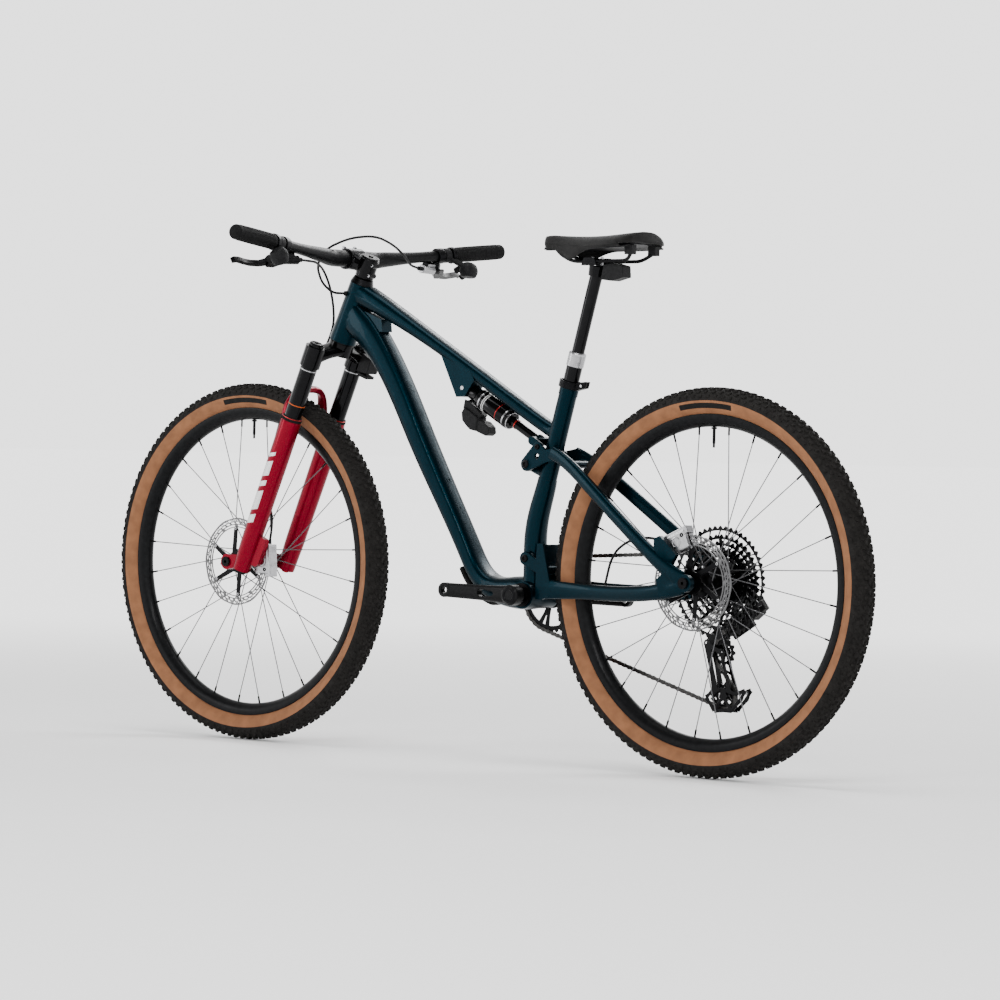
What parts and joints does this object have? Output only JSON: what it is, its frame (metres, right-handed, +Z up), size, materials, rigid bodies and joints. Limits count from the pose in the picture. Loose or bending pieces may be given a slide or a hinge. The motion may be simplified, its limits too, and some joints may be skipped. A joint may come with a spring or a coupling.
{
  "type": "full-suspension mountain bike",
  "caption": "Full-suspension mountain bike: carbon frame with a linkage rear end, air fork, disc brakes, wide-range single-ring drivetrain and dropper post; no pedals.",
  "frame": {"origin": "on the ground, midway between the two axles, in the bike's centre plane", "axes": "+X riding direction, +Y the rider's left, +Z up"},
  "size_m": [1.929, 0.8058, 1.0385],
  "materials": {
    "frame_paint": "gloss clear coat over dark teal carbon",
    "fork_paint": "gloss crimson",
    "black_metal": "black anodised",
    "black_carbon": "satin carbon",
    "rim_black": "matte carbon",
    "tyre_rubber": "matte",
    "dark_steel": "dark",
    "rotor_steel": "brushed",
    "silver_metal": "satin",
    "grip_rubber": "matte",
    "hose_black": "satin",
    "black_plastic": "fine grain",
    "shock_black": "gloss black",
    "saddle_skin": "synthetic, satin",
    "pad_metal": "sintered"
  },
  "bodies": {
    "frame": {"front_frame": "frame_paint", "frame_bearings": "black_metal", "seat_collar": "black_metal", "dropper_outer_tube": "black_metal", "frame_fittings": "grip_rubber"},
    "lower_link": {"lower_link": "black_metal"},
    "rocker": {"rocker_link": "black_metal"},
    "shock_body": {"shock_can": "shock_black"},
    "shock_shaft": {"shock_shaft": "shock_black"},
    "rear_triangle": {"rear_triangle": "frame_paint", "rear_axle": "black_metal", "rear_caliper": "silver_metal", "rear_hose": "hose_black", "derailleur_mount": "black_metal"},
    "rear_pad_left": {"rear_pad_left": "pad_metal"},
    "rear_pad_right": {"rear_pad_right": "pad_metal"},
    "rear_wheel": {"rear_tyre": "tyre_rubber", "rear_rim": "rim_black", "rear_spokes": "dark_steel", "rear_hub": "black_metal", "rear_rotor": "rotor_steel"},
    "cassette": {"cassette": "dark_steel"},
    "crank": {"left_crank_arm": "black_carbon", "right_crank_arm": "black_carbon", "chainring": "black_metal"},
    "chain": {"chain": "dark_steel"},
    "derailleur_outer_link": {"derailleur_outer_link": "black_metal"},
    "derailleur_inner_link": {"derailleur_inner_link": "black_metal"},
    "derailleur_knuckle": {"derailleur_knuckle": "black_metal"},
    "derailleur_cage": {"derailleur_cage": "black_metal"},
    "upper_pulley": {"upper_pulley": "black_plastic"},
    "lower_pulley": {"lower_pulley": "black_plastic"},
    "steering": {"fork_upper_unit": "black_metal", "stem_and_spacers": "black_metal", "handlebar": "black_carbon", "grips": "grip_rubber", "brake_masters": "silver_metal", "control_pods": "black_plastic", "rear_hose_front": "hose_black", "front_hose": "hose_black"},
    "left_lever": {"left_lever": "black_plastic"},
    "right_lever": {"right_lever": "black_plastic"},
    "left_pod_button": {"left_pod_button": "black_plastic"},
    "right_pod_up_button": {"right_pod_up_button": "black_plastic"},
    "right_pod_down_button": {"right_pod_down_button": "black_plastic"},
    "fork_lowers": {"fork_lowers": "fork_paint", "front_axle": "black_metal", "front_caliper": "silver_metal"},
    "front_pad_left": {"front_pad_left": "pad_metal"},
    "front_pad_right": {"front_pad_right": "pad_metal"},
    "front_wheel": {"front_tyre": "tyre_rubber", "front_rim": "rim_black", "front_spokes": "dark_steel", "front_hub": "black_metal", "front_rotor": "rotor_steel"},
    "saddle_post": {"dropper_stanchion": "shock_black", "saddle_clamp": "black_metal", "saddle_rails": "rotor_steel", "saddle_base": "black_plastic", "saddle_cover": "saddle_skin"}
  },
  "joints": [
    {"name": "steering", "type": "hinge", "parent": "frame", "child": "steering", "pos_m": [0.32757, 0, 0.88377], "axis": [-0.3939, 0, 0.9191], "range_deg": [-50, 50], "deforming": ["rear_hose_front"]},
    {"name": "fork_travel", "type": "slide", "parent": "steering", "child": "fork_lowers", "axis": [-0.3939, 0, 0.9191], "range_m": [0, 0.11], "stiffness_N_per_m": 2500, "springref_m": -0.03, "deforming": ["front_hose"]},
    {"name": "front_wheel_spin", "type": "hinge", "parent": "fork_lowers", "child": "front_wheel", "pos_m": [0.5965, 0, 0.368], "axis": [0, 1, 0], "continuous": true},
    {"name": "lower_link_pivot", "type": "hinge", "parent": "frame", "child": "lower_link", "pos_m": [-0.17, 0, 0.4], "axis": [0, 1, 0], "range_deg": [0, 45], "deforming": ["chain"]},
    {"name": "rear_triangle_pivot", "type": "hinge", "parent": "lower_link", "child": "rear_triangle", "pos_m": [-0.214, 0, 0.378], "axis": [0, 1, 0], "range_deg": [-35.4, 0]},
    {"name": "rocker_pivot", "type": "hinge", "parent": "frame", "child": "rocker", "pos_m": [-0.163, 0, 0.583], "axis": [0, 1, 0], "range_deg": [0, 56.4]},
    {"name": "shock_eye_pivot", "type": "hinge", "parent": "frame", "child": "shock_body", "pos_m": [0.0157, 0, 0.73], "axis": [0, 1, 0], "range_deg": [-3.9, 0]},
    {"name": "shock_stroke", "type": "slide", "parent": "shock_body", "child": "shock_shaft", "axis": [0.8765, 0, 0.4815], "range_m": [0, 0.0385]},
    {"name": "chain_swing", "type": "hinge", "parent": "frame", "child": "chain", "pos_m": [-0.1685, 0, 0.329], "axis": [0, 1, 0], "range_deg": [0, 13.8]},
    {"name": "rear_wheel_spin", "type": "hinge", "parent": "rear_triangle", "child": "rear_wheel", "pos_m": [-0.5965, 0, 0.368], "axis": [0, 1, 0], "continuous": true},
    {"name": "cassette_spin", "type": "hinge", "parent": "rear_triangle", "child": "cassette", "pos_m": [-0.5965, 0, 0.368], "axis": [0, 1, 0], "continuous": true},
    {"name": "crank_spin", "type": "hinge", "parent": "frame", "child": "crank", "pos_m": [-0.1685, 0, 0.329], "axis": [0, 1, 0], "continuous": true},
    {"name": "derailleur_shift", "type": "hinge", "parent": "rear_triangle", "child": "derailleur_outer_link", "pos_m": [-0.63, -0.1, 0.312], "axis": [0.6247, 0, 0.7809], "range_deg": [-16.5, 7]},
    {"name": "derailleur_inner_pivot", "type": "hinge", "parent": "rear_triangle", "child": "derailleur_inner_link", "pos_m": [-0.63, -0.084, 0.312], "axis": [0.6247, 0, 0.7809], "range_deg": [-16.6, 7.1]},
    {"name": "derailleur_knuckle_pivot", "type": "hinge", "parent": "derailleur_outer_link", "child": "derailleur_knuckle", "pos_m": [-0.575, -0.075, 0.268], "axis": [0.6247, 0, 0.7809], "range_deg": [-7.1, 16.6]},
    {"name": "cage_pivot", "type": "hinge", "parent": "derailleur_knuckle", "child": "derailleur_cage", "pos_m": [-0.566, -0.064, 0.252], "axis": [0, -1, 0], "range_deg": [0, 45], "stiffness_Nm_per_rad": 0.6, "springref_deg": -34.38},
    {"name": "upper_pulley_spin", "type": "hinge", "parent": "derailleur_cage", "child": "upper_pulley", "pos_m": [-0.6, 0, 0.236], "axis": [0, 1, 0], "continuous": true},
    {"name": "lower_pulley_spin", "type": "hinge", "parent": "derailleur_cage", "child": "lower_pulley", "pos_m": [-0.606, 0, 0.154], "axis": [0, 1, 0], "continuous": true},
    {"name": "dropper_travel", "type": "slide", "parent": "frame", "child": "saddle_post", "axis": [-0.2706, 0, 0.9627], "range_m": [-0.15, 0]},
    {"name": "left_lever_pull", "type": "hinge", "parent": "steering", "child": "left_lever", "pos_m": [0.324, 0.252, 0.972], "axis": [0.5996, -0.1207, 0.7912], "range_deg": [0, 14], "stiffness_Nm_per_rad": 1.5, "springref_deg": -8.59},
    {"name": "right_lever_pull", "type": "hinge", "parent": "steering", "child": "right_lever", "pos_m": [0.324, -0.252, 0.972], "axis": [-0.5996, -0.1207, -0.7912], "range_deg": [0, 14], "stiffness_Nm_per_rad": 1.5, "springref_deg": -8.59},
    {"name": "left_pod_button_press", "type": "slide", "parent": "steering", "child": "left_pod_button", "axis": [-0.9207, 0, 0.3903], "range_m": [0, 0.0018], "stiffness_N_per_m": 900, "springref_m": -0.001},
    {"name": "right_pod_up_button_press", "type": "slide", "parent": "steering", "child": "right_pod_up_button", "axis": [-0.9207, 0, 0.3903], "range_m": [0, 0.0018], "stiffness_N_per_m": 900, "springref_m": -0.001},
    {"name": "right_pod_down_button_press", "type": "slide", "parent": "steering", "child": "right_pod_down_button", "axis": [-0.9207, 0, 0.3903], "range_m": [0, 0.0018], "stiffness_N_per_m": 900, "springref_m": -0.001},
    {"name": "front_pad_right_slide", "type": "slide", "parent": "fork_lowers", "child": "front_pad_right", "axis": [0, 1, 0], "range_m": [0, 0.00041]},
    {"name": "front_pad_left_slide", "type": "slide", "parent": "fork_lowers", "child": "front_pad_left", "axis": [0, -1, 0], "range_m": [0, 0.00041]},
    {"name": "rear_pad_right_slide", "type": "slide", "parent": "rear_triangle", "child": "rear_pad_right", "axis": [0, 1, 0], "range_m": [0, 0.00041]},
    {"name": "rear_pad_left_slide", "type": "slide", "parent": "rear_triangle", "child": "rear_pad_left", "axis": [0, -1, 0], "range_m": [0, 0.00041]}
  ],
  "couplings": [
    {"joint": "rear_triangle_pivot", "follows": "lower_link_pivot", "ratio": -0.785},
    {"joint": "rocker_pivot", "follows": "lower_link_pivot", "ratio": 1.2511},
    {"joint": "shock_eye_pivot", "follows": "lower_link_pivot", "ratio": -0.0842},
    {"joint": "shock_stroke", "follows": "lower_link_pivot", "m_per_rad": 0.04892},
    {"joint": "chain_swing", "follows": "lower_link_pivot", "ratio": 0.3044},
    {"joint": "cassette_spin", "follows": "crank_spin", "ratio": 1.2857},
    {"joint": "upper_pulley_spin", "follows": "crank_spin", "ratio": -3},
    {"joint": "lower_pulley_spin", "follows": "crank_spin", "ratio": 3},
    {"joint": "derailleur_inner_pivot", "follows": "derailleur_shift", "ratio": 1},
    {"joint": "derailleur_knuckle_pivot", "follows": "derailleur_shift", "ratio": -1},
    {"joint": "front_pad_right_slide", "follows": "left_lever_pull", "m_per_rad": 0.001637},
    {"joint": "front_pad_left_slide", "follows": "left_lever_pull", "m_per_rad": 0.001637},
    {"joint": "rear_pad_right_slide", "follows": "right_lever_pull", "m_per_rad": 0.001637},
    {"joint": "rear_pad_left_slide", "follows": "right_lever_pull", "m_per_rad": 0.001637}
  ]
}
